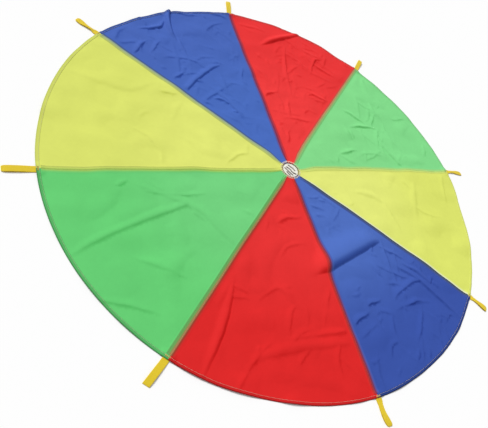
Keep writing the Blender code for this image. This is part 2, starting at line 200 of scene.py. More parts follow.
floor_mesh = bpy.data.meshes.new("floor")
corners = [(x * floor_reach, y * floor_reach, 0) for x, y in ((-1, -1), (1, -1), (1, 1), (-1, 1))]
floor_mesh.from_pydata(corners, [], [(0, 1, 2, 3)])
floor = add_object("floor", floor_mesh)
painted_floor = Finish(bpy.data.materials.new("white_floor"))
painted_floor.principled(Base_Color=floor_colour, Roughness=0.9, Specular_IOR_Level=0.0)
floor_mesh.materials.append(painted_floor.block)

world = bpy.data.worlds.new("room")
bpy.context.scene.world = world
room = Finish(world)
path = room.node("ShaderNodeLightPath")
seen = Amount(room, path.outputs["Is Camera Ray"])
for ray in ("Is Glossy Ray", "Is Transmission Ray"):
    seen = seen.reckon("MAXIMUM", seen, path.outputs[ray])
room_light = room.tree.nodes["Background"]
room.feed(room_light.inputs["Color"], (1.0, 1.0, 1.0))
room.feed(room_light.inputs["Strength"], room_share + (1 - room_share) * seen)

lamp_data = bpy.data.lights.new("lamp", "SUN")
lamp_data.angle = lamp_spread
lamp_data.energy = math.pi * lamp_share * lamp_from.length / lamp_from.z
lamp = add_object("lamp", lamp_data)
lamp.rotation_mode = "QUATERNION"
lamp.rotation_quaternion = lamp_from.to_track_quat("Z", "Y")


# Gores. Eight wedges of thin polyester taffeta with a low gloss, cut on the same pattern and laid out
# by hand, so that the cloth keeps creases, a few folds and small waves.
canopy_radius = 1.0
vent_radius = 0.037
gore_count = 8
gore_angle = math.tau / gore_count
gore_hues = 2 * ("green", "red", "blue", "yellow")
gore_names = [f"gore_{number}_{hue}" for number, hue in enumerate(gore_hues, start=1)]
cloth_thickness = 0.00035
seam_gap = 0.0002
least_height = 0.0008

# The mesh: its pitch on the plain cloth and along the folds, the height from which a fold has a row
# below its foot too, the rows beside the seams, and the points of the rim.
cloth_pitch = 0.0085
crest_pitch = 0.006
crisp_height = 0.006
foot_margin = 0.0015
seam_rows = (0.0055, 0.0110, 0.0165)
seam_radii = np.linspace(vent_radius, canopy_radius, 200)
rim_points = 100
vent_margin = 0.003

# How far a laid seam strays to its side, from the vent outwards: radius and millimetres.
seam_strays = {
    1: ((0.0, 0), (0.1, 8), (0.3, 6), (0.45, 1), (0.75, 0), (0.85, 3), (1.0, -1), (1.1, -1)),
    2: ((0.0, 0), (0.1, 6), (0.3, 5), (0.5, 3), (0.7, 5), (1.1, 6)),
    3: ((0.0, 0), (0.1, 5), (0.35, 6), (0.44, 9), (0.55, 1), (1.1, 2)),
    4: ((0.0, 0), (0.1, 5), (0.3, 7), (0.75, 9), (0.86, 0), (0.95, -3), (1.1, -3)),
    5: ((0.0, 0), (0.05, 2), (0.15, 16), (0.25, 15), (0.35, 11), (0.5, 10), (0.7, 2), (0.95, -8), (1.1, -9)),
    6: ((0.0, 0), (0.05, 4), (0.13, 13), (0.2, 16), (0.45, 15), (0.6, 13), (0.9, 12), (1.1, 10)),
    7: ((0.0, 0), (0.1, 7), (0.35, 6), (0.55, 9), (0.75, 14), (1.1, 17)),
    8: ((0.0, 0), (0.05, -3), (0.12, -11), (0.25, -6), (0.4, -6), (0.6, -12), (0.8, -9), (1.1, -8)),
}
# The cloth beside a seam goes with it up to this far, and up to this share of its radius.
stray_reach = 0.16
stray_reach_share = 0.4
# How far the laid rim strays from round: degrees and millimetres. The cloth goes with it from a radius on.
rim_strays = (
    ((0, 0), (30, 2), (52, 4), (67, -3), (90, 0), (105, -4), (127, 2), (142, 3), (157, -4), (165, -9))
    + ((176, 7), (186, 4), (198, 0), (217, -5), (226, 0), (233, -7), (240, 6), (252, 2), (265, 0))
    + ((277, -6), (285, -12), (292, -6), (300, -11), (308, -7), (316, -2), (345, -4), (360, 0))
)
rim_stray_start = 0.75

# Creases. Each has a sharp foot, from which its steep side rises towards the lamp, and a gentle side
# beyond. Given are the height, the widths of the steep and the gentle side, all in millimetres, and
# the points of the foot, each with its share of the height.
creases = (
    (
        (19, 38, 110),
        (
            (0.060, 0.507, 0.1),
            (0.030, 0.504, 0.5),
            (-0.011, 0.499, 1.0),
            (-0.093, 0.473, 1.0),
            (-0.221, 0.430, 0.85),
            (-0.285, 0.408, 0.6),
            (-0.325, 0.392, 0.1),
        ),
    ),
    ((5, 9, 24), ((-0.23, 0.49, 0.2), (-0.275, 0.525, 1.0), (-0.345, 0.565, 0.9), (-0.40, 0.585, 0.1))),
    ((5, 8, 20), ((-0.31, 0.42, 0.4), (-0.36, 0.455, 1.0), (-0.42, 0.49, 0.2))),
    ((7, 9, 34), ((-0.33, 0.50, 0.2), (-0.432, 0.585, 0.9), (-0.508, 0.687, 1.0), (-0.582, 0.792, 0.3))),
    ((6, 9, 20), ((-0.333, 0.39, 0.3), (-0.324, 0.518, 1.0), (-0.331, 0.624, 0.2))),
    ((5, 9, 22), ((-0.43, 0.52, 0.2), (-0.50, 0.50, 1.0), (-0.55, 0.52, 0.3))),
    ((5, 10, 26), ((-0.574, 0.80, 0.2), (-0.47, 0.61, 1.0), (-0.32, 0.634, 0.8), (-0.268, 0.664, 0.1))),
    ((6, 9, 20), ((-0.425, 0.69, 0.1), (-0.37, 0.692, 1.0), (-0.313, 0.694, 0.1))),
    ((6, 9, 20), ((-0.13, 0.69, 0.1), (-0.06, 0.715, 1.0), (-0.007, 0.735, 0.8))),
    ((6, 9, 20), ((-0.2, 0.653, 0.1), (-0.15, 0.662, 1.0), (-0.104, 0.672, 0.1))),
    ((8, 12, 24), ((-0.53, 0.60, 0.6), (-0.50, 0.62, 0.7), (-0.45, 0.56, 1.0), (-0.38, 0.5, 0.1))),
    ((6, 9, 22), ((-0.26, 0.58, 0.1), (-0.235, 0.53, 1.0), (-0.216, 0.477, 0.1))),
    ((5, 9, 18), ((-0.044, 0.305, 0.2), (-0.014, 0.26, 0.8))),
    ((7, 11, 22), ((-0.156, 0.208, 0.2), (-0.12, 0.165, 1.0), (-0.081, 0.126, 0.2))),
    ((6, 10, 18), ((-0.08, 0.152, 0.3), (-0.014, 0.152, 0.8))),
    ((8, 14, 30), ((0.605, 0.79, 0.2), (0.52, 0.69, 0.9), (0.463, 0.60, 1.0), (0.403, 0.47, 0.1))),
    ((5, 28, 34), ((0.05, 0.80, 0.4), (0.25, 0.785, 1.0), (0.45, 0.78, 0.2))),
    ((5, 14, 26), ((0.02, 0.755, 0.9), (0.16, 0.745, 0.8), (0.30, 0.735, 0.1))),
    ((5, 14, 26), ((0.20, 0.634, 0.2), (0.235, 0.57, 1.0), (0.27, 0.50, 0.1))),
    ((5, 12, 22), ((0.04, 0.246, 0.3), (0.12, 0.253, 1.0), (0.16, 0.268, 0.1))),
    ((5, 18, 32), ((0.37, 0.36, 0.1), (0.43, 0.27, 0.8), (0.49, 0.19, 1.0), (0.69, 0.07, 0.1))),
    ((5, 18, 32), ((0.515, 0.17, 0.8), (0.69, 0.23, 1.0), (0.84, 0.29, 0.8), (0.93, 0.335, 0.1))),
    ((4, 16, 28), ((0.58, 0.46, 0.1), (0.67, 0.41, 1.0), (0.75, 0.36, 0.1))),
    ((8, 12, 26), ((-0.70, 0.02, 0.2), (-0.664, -0.037, 0.8), (-0.62, -0.13, 1.0), (-0.597, -0.209, 0.2))),
    ((7, 10, 24), ((-0.627, -0.269, 0.2), (-0.54, -0.272, 1.0), (-0.462, -0.269, 0.2))),
    ((7, 10, 24), ((-0.567, -0.299, 0.2), (-0.51, -0.345, 1.0), (-0.462, -0.388, 0.2))),
    ((6, 10, 22), ((-0.455, -0.119, 0.2), (-0.38, -0.105, 1.0), (-0.313, -0.09, 0.1))),
    ((6, 9, 20), ((-0.447, -0.187, 0.2), (-0.435, -0.235, 1.0), (-0.425, -0.284, 0.1))),
    ((7, 11, 24), ((-0.709, -0.336, 0.2), (-0.69, -0.40, 1.0), (-0.679, -0.463, 0.1))),
    ((7, 9, 24), ((-0.179, -0.463, 0.2), (-0.21, -0.63, 1.0), (-0.261, -0.807, 0.2))),
    ((6, 9, 22), ((-0.11, -0.299, 0.2), (-0.13, -0.366, 1.0), (-0.149, -0.433, 0.1))),
    ((6, 9, 20), ((-0.05, -0.157, 0.4), (-0.065, -0.19, 1.0), (-0.08, -0.23, 0.1))),
    ((12, 16, 30), ((-0.42, -0.935, 0.2), (-0.30, -0.875, 0.9), (-0.20, -0.83, 1.0), (-0.119, -0.792, 0.2))),
    ((7, 9, 20), ((-0.335, -0.657, 0.3), (-0.323, -0.70, 1.0), (-0.313, -0.739, 0.1))),
    ((6, 9, 22), ((-0.10, -0.468, 0.2), (-0.04, -0.445, 1.0), (0.008, -0.426, 0.8))),
    ((7, 9, 20), ((-0.50, -0.62, 0.2), (-0.44, -0.66, 1.0), (-0.37, -0.74, 0.2))),
    ((7, 9, 20), ((-0.47, -0.75, 0.2), (-0.42, -0.72, 1.0), (-0.36, -0.63, 0.2))),
    ((7, 9, 20), ((-0.40, -0.42, 0.2), (-0.33, -0.45, 1.0), (-0.26, -0.50, 0.2))),
    (
        (8, 11, 28),
        ((0.40, -0.39, 0.2), (0.381, -0.411, 0.7), (0.321, -0.478, 1.0), (0.231, -0.56, 0.9))
        + ((0.157, -0.612, 0.1),),
    ),
    ((8, 10, 22), ((0.15, -0.28, 0.2), (0.164, -0.306, 0.7), (0.194, -0.366, 1.0), (0.239, -0.455, 0.1))),
    ((6, 8, 16), ((0.194, -0.366, 0.7), (0.23, -0.38, 1.0), (0.261, -0.396, 0.1))),
    ((15, 13, 22), ((0.335, -0.95, 0.8), (0.352, -0.88, 1.0), (0.358, -0.80, 0.9), (0.35, -0.73, 0.1))),
    ((10, 11, 24), ((0.381, -0.859, 0.2), (0.42, -0.80, 1.0), (0.52, -0.77, 0.2))),
    ((6, 8, 18), ((0.343, -0.785, 0.3), (0.328, -0.694, 1.0), (0.314, -0.590, 0.2))),
    ((8, 10, 24), ((0.568, -0.605, 0.2), (0.53, -0.66, 1.0), (0.485, -0.717, 0.1))),
    ((7, 9, 22), ((0.426, -0.717, 0.2), (0.46, -0.67, 1.0), (0.493, -0.62, 0.1))),
    ((6, 9, 20), ((0.358, -0.53, 0.2), (0.388, -0.508, 1.0), (0.418, -0.485, 0.1))),
    ((2, 24, 34), ((0.53, -0.433, 0.2), (0.627, -0.388, 1.0), (0.75, -0.42, 0.8), (0.866, -0.478, 0.1))),
    ((2, 20, 28), ((0.403, -0.366, 0.2), (0.44, -0.30, 1.0), (0.478, -0.239, 0.1))),
    ((5, 12, 20), ((0.074, -0.067, 0.3), (0.10, -0.085, 1.0), (0.127, -0.104, 0.1))),
    ((4, 24, 34), ((-0.62, 0.30, 0.1), (-0.68, 0.18, 1.0), (-0.73, 0.07, 0.1))),
    ((4, 22, 30), ((-0.46, 0.20, 0.1), (-0.38, 0.155, 1.0), (-0.30, 0.13, 0.1))),
)
# Crumples, short ones, long, thin ones and broad, soft ones: how many there are in each gore, then
# lengths, heights and the widths of the steep and the gentle side.
crumple_kinds = (
    ((3, 8, 32, 2, 15, 44, 48, 3), (0.030, 0.08), (0.0012, 0.0034), (0.0060, 0.016)),
    ((6, 14, 22, 3, 20, 36, 34, 3), (0.10, 0.26), (0.0012, 0.0031), (0.0070, 0.023)),
    ((6, 13, 10, 3, 8, 9, 10, 3), (0.12, 0.32), (0.0010, 0.0030), (0.034, 0.060)),
)
# Where crumples may lie, as shares of the canopy's area and of the gore's angle, how much they bend,
# how far from a seam they reach their height, how close their points are and how many there are at
# least, and how much lower a crumple is at its ends.
crumple_areas = (0.02, 0.94)
crumple_turns = (0.06, 0.94)
crumple_bends = (-0.4, 0.4)
crumple_clearance = 0.040
crumple_pitch = 0.010
crumple_points = 9
crumple_taper = 0.95
# Folds wander from their smooth course by two sways, except the highest, straight ones, and less if
# they are longer than the reach.
wander_swings = (0.0034, 0.0010)
wander_lengths = (0.070, 0.026)
wander_reach = 0.07
straight_height = 11
# The other creases' heights and steep sides are a little smaller than millimetres.
low_crease_unit = 0.00085
# A fold's breadth where it is lowest, as a share, and how far it fades past its ends.
fold_least_breadth = 0.4
fold_fade = 0.010
# The low folds end this far from a seam, and reach their height this much further on.
stiff_seam = 0.019
stiff_fade = 0.020

# Long, low waves of cloth that was spread by hand, from beyond the vent on. The cloth lies flat in the
# deepest of them.
wave_height = 0.00042
wave_lengths = (0.10, 0.40)
wave_count = 26
wave_floor = 2.2
wave_start = 0.05
wave_ramp = 0.10

# What the cloth lies over: the sewn ends of the webbing, and the net.
webbing_width = 0.025
webbing_thickness = 0.0014
tail_length = 0.0105
# How far each sewn end lies to the left of its seam's middle line.
loop_slides = {1: 0.0, 2: 0.0, 3: 0.004, 4: 0.0, 5: -0.009, 6: 0.004, 7: 0.009, 8: 0.0}
net_radius = 0.046
net_cover = 0.0009
tail_clearance = 0.0004
cover_margin = 0.001
cover_ramp = 0.020


def smooth_line(points, pitch):
    """A smooth line through given points, sampled about a pitch apart."""
    points = np.array(points, float)
    ends = np.vstack([2 * points[0] - points[1], points, 2 * points[-1] - points[-2]])
    line = []
    for before, start, end, after in zip(ends, ends[1:], ends[2:], ends[3:]):
        count = max(1, round(float(np.linalg.norm((end - start)[:2])) / pitch))
        for t in np.arange(count) / count:
            line.append(
                0.5
                * (
                    2 * start
                    + (end - before) * t
                    + (2 * before - 5 * start + 4 * end - after) * t**2
                    + (3 * start - before - 3 * end + after) * t**3
                )
            )
    line.append(points[-1])
    return np.array(line)


def ease(share):
    """Runs smoothly from 0 to 1."""
    share = np.clip(share, 0.0, 1.0)
    return share * share * (3 - 2 * share)


def eased_between(place, stops):
    """The value at a place between stops, easing from each to the next."""
    places, values = np.array(stops, float).T
    index = np.clip(np.searchsorted(places, place) - 1, 0, len(places) - 2)
    share = (place - places[index]) / (places[index + 1] - places[index])
    return values[index] + (values[index + 1] - values[index]) * ease(share)


def seam_direction(number):
    """Unit vectors along a seam and to its left, in plan."""
    angle = (number - 1) * gore_angle
    return np.array((math.cos(angle), math.sin(angle))), np.array((-math.sin(angle), math.cos(angle)))


def beside_seam(number, radius, offset):
    """Flat places at these radii that lie an offset to the left of a seam."""
    along, left = seam_direction(number)
    return np.sqrt(radius**2 - offset**2)[:, None] * along + np.full(len(radius), offset)[:, None] * left


def shift_on_floor(flat):
    """Where places of the flat, round pattern lie in plan once the cloth is spread by hand."""
    radius = np.hypot(flat[:, 0], flat[:, 1])
    laid = flat.copy()
    reach = np.minimum(stray_reach, stray_reach_share * radius)
    for number, strays in seam_strays.items():
        along, left = seam_direction(number)
        near = np.clip(1 - np.abs(flat @ left) / np.maximum(reach, 1e-6), 0, 1) ** 2 * (flat @ along > 0)
        laid += (near * 0.001 * eased_between(radius, strays))[:, None] * left
    degrees = np.degrees(np.arctan2(flat[:, 1], flat[:, 0])) % 360
    grip = ease((radius - rim_stray_start) / (canopy_radius - rim_stray_start))
    swell = 0.001 * eased_between(degrees, rim_strays) * grip
    return laid * (1 + swell / np.maximum(radius, 1e-6))[:, None]


def add_fold(height, steep, gentle, line, wander=1.0):
    """Keeps a fold, with the side of its foot's line that faces the lamp: 1 for left, -1 for right."""
    steps = np.diff(line[:, :2], axis=0, prepend=line[:1, :2])
    way = np.cumsum(np.hypot(*steps.T))
    run = line[-1, :2] - line[0, :2]
    across = np.array((-run[1], run[0])) / np.hypot(*run)
    wander *= min(1.0, wander_reach / np.hypot(*run))
    for swing, length, phase in zip(wander_swings, wander_lengths, draw.uniform(0, math.tau, 2)):
        line[:, :2] += wander * swing * np.sin(math.tau * way / length + phase)[:, None] * across
    facing = 1 if run[0] * lamp_from.y - run[1] * lamp_from.x > 0 else -1
    folds.append((height, steep, gentle, facing, line))


draw = np.random.default_rng(11)
folds = []
for (height, steep, gentle), points in creases:
    unit, wander = (0.001, 0.0) if height > straight_height else (low_crease_unit, 1.0)
    add_fold(unit * height, unit * steep, 0.001 * gentle, smooth_line(points, crest_pitch), wander)
wave_turns = draw.uniform(0, math.tau, wave_count)
wave_phases = draw.uniform(0, math.tau, wave_count)
wave_steps = math.tau / np.exp(draw.uniform(*np.log(wave_lengths), wave_count))
for counts, lengths, heights, (steep, gentle) in crumple_kinds:
    for number, crumple_count in enumerate(counts, start=1):
        for _ in range(crumple_count):
            radius = math.sqrt(draw.uniform(*crumple_areas))
            turn = (number - 1 + draw.uniform(*crumple_turns)) * gore_angle
            middle = radius * np.array((math.cos(turn), math.sin(turn)))
            heading, bend = draw.uniform(0, math.tau), draw.uniform(*crumple_bends)
            half = draw.uniform(*lengths) / 2
            way = np.linspace(-1, 1, max(crumple_points, round(2 * half / crumple_pitch)))
            course = heading + bend * way
            line = middle + np.c_[way * half * np.cos(course), way * half * np.sin(course)]
            off_seam = np.abs([line @ seam_direction(seam)[1] for seam in (number, number + 1)]).min(0)
            line = np.c_[line, (1 - crumple_taper * way**2) * ease(off_seam / crumple_clearance)]
            add_fold(draw.uniform(*heights), steep, gentle, line)


def off_seams(x, y):
    """How far laid places are from the nearest seam."""
    flat = np.c_[x, y]
    radius = np.hypot(x, y)
    nearest = np.full(len(x), 1.0)
    for number, strays in seam_strays.items():
        along, left = seam_direction(number)
        apart = np.abs(flat @ left - 0.001 * eased_between(radius, strays))
        nearest = np.where(flat @ along > 0, np.minimum(nearest, apart), nearest)
    return nearest


def crease_height(x, y):
    """How far the creases lift the cloth. Only the highest run on across the stiffer seams."""
    total = np.zeros(len(x))
    calm = ease((off_seams(x, y) - stiff_seam) / stiff_fade)
    for height, steep, gentle, facing, line in folds:
        reach = steep + gentle
        low, high = line[:, :2].min(0) - reach, line[:, :2].max(0) + reach
        near = np.flatnonzero((x > low[0]) & (x < high[0]) & (y > low[1]) & (y < high[1]))
        if not len(near):
            continue
        start, run = line[:-1, :2], np.diff(line[:, :2], axis=0)
        away_x = x[near, None] - start[:, 0]
        away_y = y[near, None] - start[:, 1]
        reached = (away_x * run[:, 0] + away_y * run[:, 1]) / (run**2).sum(1)
        way = np.clip(reached, 0, 1)
        best = np.hypot(away_x - way * run[:, 0], away_y - way * run[:, 1]).argmin(1)
        rows = np.arange(len(near))
        away_x, away_y, way, reached = (table[rows, best] for table in (away_x, away_y, way, reached))
        long = np.hypot(run[best, 0], run[best, 1])
        past = np.abs(reached - way) * long
        off_foot = facing * (run[best, 0] * away_y - run[best, 1] * away_x) / long
        share = np.clip(line[best, 2] + (line[best + 1, 2] - line[best, 2]) * way, 0, 1)
        breadth = fold_least_breadth + (1 - fold_least_breadth) * share
        rise = 1 - (1 - np.clip(off_foot / (steep * breadth), 0, 1)) ** 2
        fall = ease(1 - np.maximum(0, off_foot - steep * breadth) / (gentle * breadth))
        lift = height * share * rise * fall * ease(1 - past / (steep + fold_fade))
        if height < 0.001 * straight_height:
            lift *= calm[near]
        total[near] += lift**3
    return np.cbrt(total)


def cover_height(x, y):
    """How far the cloth is held up by the sewn webbing ends and by the net."""
    past = np.maximum(0, np.hypot(x, y) - net_radius - cover_margin)
    height = net_cover * ease(1 - past / cover_ramp)
    flat = np.c_[x, y]
    for number in range(1, gore_count + 1):
        along, left = seam_direction(number)
        beside = np.abs(flat @ left - loop_slides[number])
        past_side = np.maximum(0, beside - webbing_width / 2 - cover_margin)
        past_end = np.maximum(0, canopy_radius - tail_length - cover_margin - flat @ along)
        tail = ease(1 - np.hypot(past_side, past_end) / cover_ramp)
        height = np.maximum(height, (2 * webbing_thickness + tail_clearance) * tail)
    return height


def cloth_height(x, y):
    """The height of the cloth's underside above the floor."""
    spread = np.zeros(len(x))
    for turn, phase, step in zip(wave_turns, wave_phases, wave_steps):
        spread += np.sin(step * (x * math.cos(turn) + y * math.sin(turn)) + phase)
    calm = ease((np.hypot(x, y) - wave_start) / wave_ramp)
    low = wave_height * calm * np.maximum(0, spread + wave_floor)
    lifted = np.cbrt(crease_height(x, y) ** 3 + cover_height(x, y) ** 3)
    return least_height + lifted + low


def raise_off_floor(laid, lift):
    """Points at a lift above the laid cloth, square to it."""
    x, y = laid[:, 0], laid[:, 1]
    step = 0.0008
    slope_x = (cloth_height(x + step, y) - cloth_height(x - step, y)) / (2 * step)
    slope_y = (cloth_height(x, y + step) - cloth_height(x, y - step)) / (2 * step)
    normal = np.c_[-slope_x, -slope_y, np.ones(len(x))]
    normal /= np.linalg.norm(normal, axis=1)[:, None]
    return np.c_[x, y, cloth_height(x, y)] + normal * np.reshape(lift, (-1, 1))


def lay(flat, lift):
    """Points of the flat pattern, where they lie on the floor."""
    return raise_off_floor(shift_on_floor(flat), lift)


def thin_shell(low, high, triangles):
    """A closed piece of cloth from its lower and upper points, with crisp cut edges."""
    count = len(low)
    sides = np.sort(np.vstack([triangles[:, [0, 1]], triangles[:, [1, 2]], triangles[:, [2, 0]]]), axis=1)
    sides, uses = np.unique(sides, axis=0, return_counts=True)
    border = {tuple(pair) for pair in sides[uses == 1].tolist()}
    faces = (triangles + count).tolist() + triangles[:, ::-1].tolist()
    for triangle in triangles.tolist():
        for first, second in zip(triangle, triangle[1:] + triangle[:1]):
            if (min(first, second), max(first, second)) in border:
                faces.append([first, second, second + count, first + count])
    mesh = bpy.data.meshes.new("mesh")
    mesh.from_pydata(np.vstack([low, high]).tolist(), [], faces)
    mesh.shade_smooth()
    crisp = np.zeros(len(mesh.edges), bool)
    ends = np.empty(2 * len(mesh.edges), int)
    mesh.edges.foreach_get("vertices", ends)
    for index, (first, second) in enumerate(ends.reshape(-1, 2).tolist()):
        pair = (min(first, second) % count, max(first, second) % count)
        crisp[index] = (min(pair), max(pair)) in border
    mesh.attributes.new("sharp_edge", "BOOLEAN", "EDGE").data.foreach_set("value", crisp)
    return mesh


def gore_pattern(number):
    """Plans one laid gore: its outline, a close even grid of points, and rows along the folds.

    Triangles that bridge a bay of the outline are left out.
    """
    turns = np.linspace(number - 1, number, rim_points)[1:-1] * gore_angle
    rim = canopy_radius * np.c_[np.cos(turns), np.sin(turns)]
    vent = vent_radius * np.c_[np.cos(turns[::9]), np.sin(turns[::9])]
    first = beside_seam(number, seam_radii, seam_gap / 2)
    second = beside_seam(number + 1, seam_radii, -seam_gap / 2)
    outline = shift_on_floor(np.vstack([first, rim, second[::-1], vent[::-1]]))
    low, high = outline.min(0), outline.max(0)
    rows = np.arange(low[1], high[1], cloth_pitch * math.sqrt(0.75))
    across = np.arange(low[0], high[0], cloth_pitch)
    grid_x = across[None, :] + (np.arange(len(rows)) % 2)[:, None] * cloth_pitch / 2
    grid = np.c_[grid_x.ravel(), np.repeat(rows, len(across))]
    extra_rows = []
    for seam, sign in ((number, 1), (number + 1, -1)):
        for offset in seam_rows:
            extra_rows.append(shift_on_floor(beside_seam(seam, seam_radii[6:-2], sign * offset)))
    for height, steep, _, facing, line in folds:
        line = line[:, :2]
        run = np.gradient(line, axis=0)
        side = facing * np.c_[-run[:, 1], run[:, 0]] / np.linalg.norm(run, axis=1)[:, None]
        offsets = np.linspace(0, steep, 1 + math.ceil(steep / crest_pitch)).tolist()
        if height > crisp_height:
            offsets.append(-foot_margin)
        for offset in offsets:
            extra_rows.append(line + side * offset)
    kept_rows = []
    clear_of_row = 0.55 * cloth_pitch
    for row in extra_rows:
        corner, far_corner = row.min(0) - cloth_pitch, row.max(0) + cloth_pitch
        if (far_corner < low).any() or (corner > high).any():
            continue
        kept_rows.append(row)
        close = np.flatnonzero(((grid > corner) & (grid < far_corner)).all(1))
        away = ((grid[close, None, :] - row[None, :, :]) ** 2).sum(2).min(1)
        grid = np.delete(grid, close[away < clear_of_row**2], axis=0)
    points = np.vstack([grid] + kept_rows)
    radius = np.hypot(points[:, 0], points[:, 1])
    margin = 0.4 * cloth_pitch
    inside = radius > vent_radius + vent_margin
    for seam, sign in ((number, 1), (number + 1, -1)):
        left = seam_direction(seam)[1]
        stray = 0.001 * eased_between(radius, seam_strays[(seam - 1) % gore_count + 1])
        inside &= sign * (points @ left - stray) > margin
    degrees = np.degrees(np.arctan2(points[:, 1], points[:, 0])) % 360
    inside &= radius < canopy_radius + 0.001 * eased_between(degrees, rim_strays) - margin
    points = points[inside]
    border = [(index, (index + 1) % len(outline)) for index in range(len(outline))]
    places = [Vector(point) for point in outline.tolist() + points.tolist()]
    cut = delaunay_2d_cdt(places, border, [list(range(len(outline)))], 1, 1e-7, False)
    plan, triangles = np.array([tuple(point) for point in cut[0]]), np.array(cut[2])
    x, y = plan[triangles].mean(1).T
    start, end = outline, np.roll(outline, -1, axis=0)
    crossed = (start[:, 1] > y[:, None]) != (end[:, 1] > y[:, None])
    slant = (end[:, 0] - start[:, 0]) / (end[:, 1] - start[:, 1] + 1e-12)
    ahead = start[:, 0] + (y[:, None] - start[:, 1]) * slant > x[:, None]
    return plan, triangles[(crossed & ahead).sum(1) % 2 == 1]


def srgb(*levels):
    """A colour as a picture shows it, as the light it reflects."""
    shares = [level / 255 for level in levels]
    return tuple(s / 12.92 if s <= 0.04045 else ((s + 0.055) / 1.055) ** 2.4 for s in shares)


def darker(colour, share):
    return tuple(level * share for level in colour)


def dye_and_shade(mesh, colours):
    """Gives the points of a cloth their own colours, with any painted light and shade."""
    colours = np.c_[colours, np.ones(len(colours))]
    mesh.attributes.new("dye_and_shade", "FLOAT_COLOR", "POINT").data.foreach_set("color", colours.ravel())


def taffeta(name, warp_angle, crinkled=1.0):
    """Thin, plain woven cloth: fine threads both ways, crinkles, and a tone that drifts a little."""
    finish = Finish(bpy.data.materials.new(name))
    place = finish.place()
    turned = finish.node("ShaderNodeMapping", None, {"Vector": place, "Rotation": (0, 0, -warp_angle)})
    along_warp = turned.outputs[0]
    warp = finish.stripes(along_warp, 900.0, 0.6, 1.0, wave_type="BANDS", bands_direction="X")
    weft = finish.stripes(along_warp, 700.0, 0.6, 1.0, wave_type="BANDS", bands_direction="Y")
    drift = finish.noise(place, 3.5, 3.0)
    slub = finish.noise(along_warp, 60.0, 5.0)
    crinkle = finish.noise(place, 26.0, 4.0, Roughness=0.55, Distortion=0.4)
    ridged = {"noise_type": "RIDGED_MULTIFRACTAL", "normalize": True}
    pressed = finish.noise(place, 5.0, 3.0, ridged, Roughness=0.45, Distortion=0.8)
    line = finish.amount("ShaderNodeMapRange", None, {0: pressed, 1: 0.62, 2: 0.95})
    tone = 0.55 * drift + 0.25 * slub + 0.2 * crinkle
    shade = finish.mix(1.0, finish.dyed_and_shaded(), finish.mix(tone, (0.89,) * 3, (1.11,) * 3), "MULTIPLY")
    worn = finish.mix(line * 0.01, shade, (0.9, 0.9, 0.9))
    relief = 0.00003 * (warp + weft) + crinkled * (0.0010 * crinkle + 0.0006 * line)
    return finish.surface(worn, 0.55 + 0.16 * slub, 0.06, relief, 0.9)


# Each gore's colour near the vent and at its rim, as a picture shows it, and how crinkled it is. The darker
# rims and the paler far gores of each hue are painted light and shade.
gore_colours_and_light = (
    ((114, 209, 127), (101, 205, 115)),
    ((229, 50, 50), (220, 39, 39)),
    ((78, 110, 190), (57, 83, 165)),
    ((225, 232, 121), (218, 226, 107)),
    ((130, 217, 138), (129, 217, 138)),
    ((238, 59, 59), (231, 51, 52)),
    ((71, 106, 188), (69, 100, 182)),
    ((222, 229, 115), (216, 224, 107)),
)
gore_crinkles = (0.6, 0.8, 1.1, 0.5, 0.9, 1.1, 1.2, 0.45)
rim_shade_start = 0.35
rim_shade_ramp = 0.5


def gore_colour(number, radius):
    """A gore's colour at these radii, with painted light and shade in its change towards the rim."""
    inner, rim = (np.array(srgb(*levels)) for levels in gore_colours_and_light[(number - 1) % gore_count])
    return inner + (rim - inner) * ease((np.reshape(radius, (-1, 1)) - rim_shade_start) / rim_shade_ramp)


# Cloth that stands up, away from the lamp, gets painted shade: its colour is made deeper and fuller there.
painted_shade_depth = 0.22
full_shade_slope = 0.7


def shaded_side(plan):
    """How much the laid cloth faces away from the lamp, from 0 to 1."""
    step = 0.002
    towards = np.array(lamp_from.xy) / lamp_from.xy.length * step
    rise = cloth_height(*(plan + towards).T) - cloth_height(*(plan - towards).T)
    return ease(rise / (2 * step) / full_shade_slope)[:, None]


def meets_fold(number):
    """Whether a gore turns with the near half, or has an edge at the fold line."""
    return number in (8, 1, 2, 3, 4, 5)


def sew_to_half(piece, bends):
    """The near half's pieces and what crosses the fold line get their placing baked into their points; the
    rest is attached to the far half.
    """
    if bends:
        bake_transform(piece)
    else:
        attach(piece, "far_half")


def add_piece(name, mesh, finish, bends):
    """Adds a piece of cloth or thread with its finish, sewn to its half."""
    mesh.materials.append(finish)
    piece = add_object(name, mesh)
    sew_to_half(piece, bends)
    return piece


for number, name in enumerate(gore_names, start=1):
    plan, triangles = gore_pattern(number)
    mesh = thin_shell(raise_off_floor(plan, 0.0), raise_off_floor(plan, cloth_thickness), triangles)
    # Painted shade: the colour deepens where the cloth faces away from the lamp.
    colours = gore_colour(number, np.hypot(plan[:, 0], plan[:, 1])) ** (1 + painted_shade_depth * shaded_side(plan))
    dye_and_shade(mesh, np.vstack([colours, colours]))
    finish = taffeta(f"{name}_cloth", (number - 0.5) * gore_angle, gore_crinkles[number - 1])
    gore = add_piece(f"cloth_{name}", mesh, finish, meets_fold(number))
    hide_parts(name)


# Laps and seam stitching. Each seam is lapped: one gore's edge is folded under and sewn over the other's
# with an overlocked edge, so the lap is darker, from the doubled cloth and from painted shade along its
# folded edge, and a thread line runs along it.
lap_width = 0.015
lap_outer_radius = canopy_radius - 0.0112
lap_inner_radius = net_radius + 0.002
lap_top = 0.0011
turned_lap = 8
# The lap narrows towards the vent, to a share of its width.
lap_least_share = 0.45
lap_narrow_end = 0.05
lap_narrow_ramp = 0.07
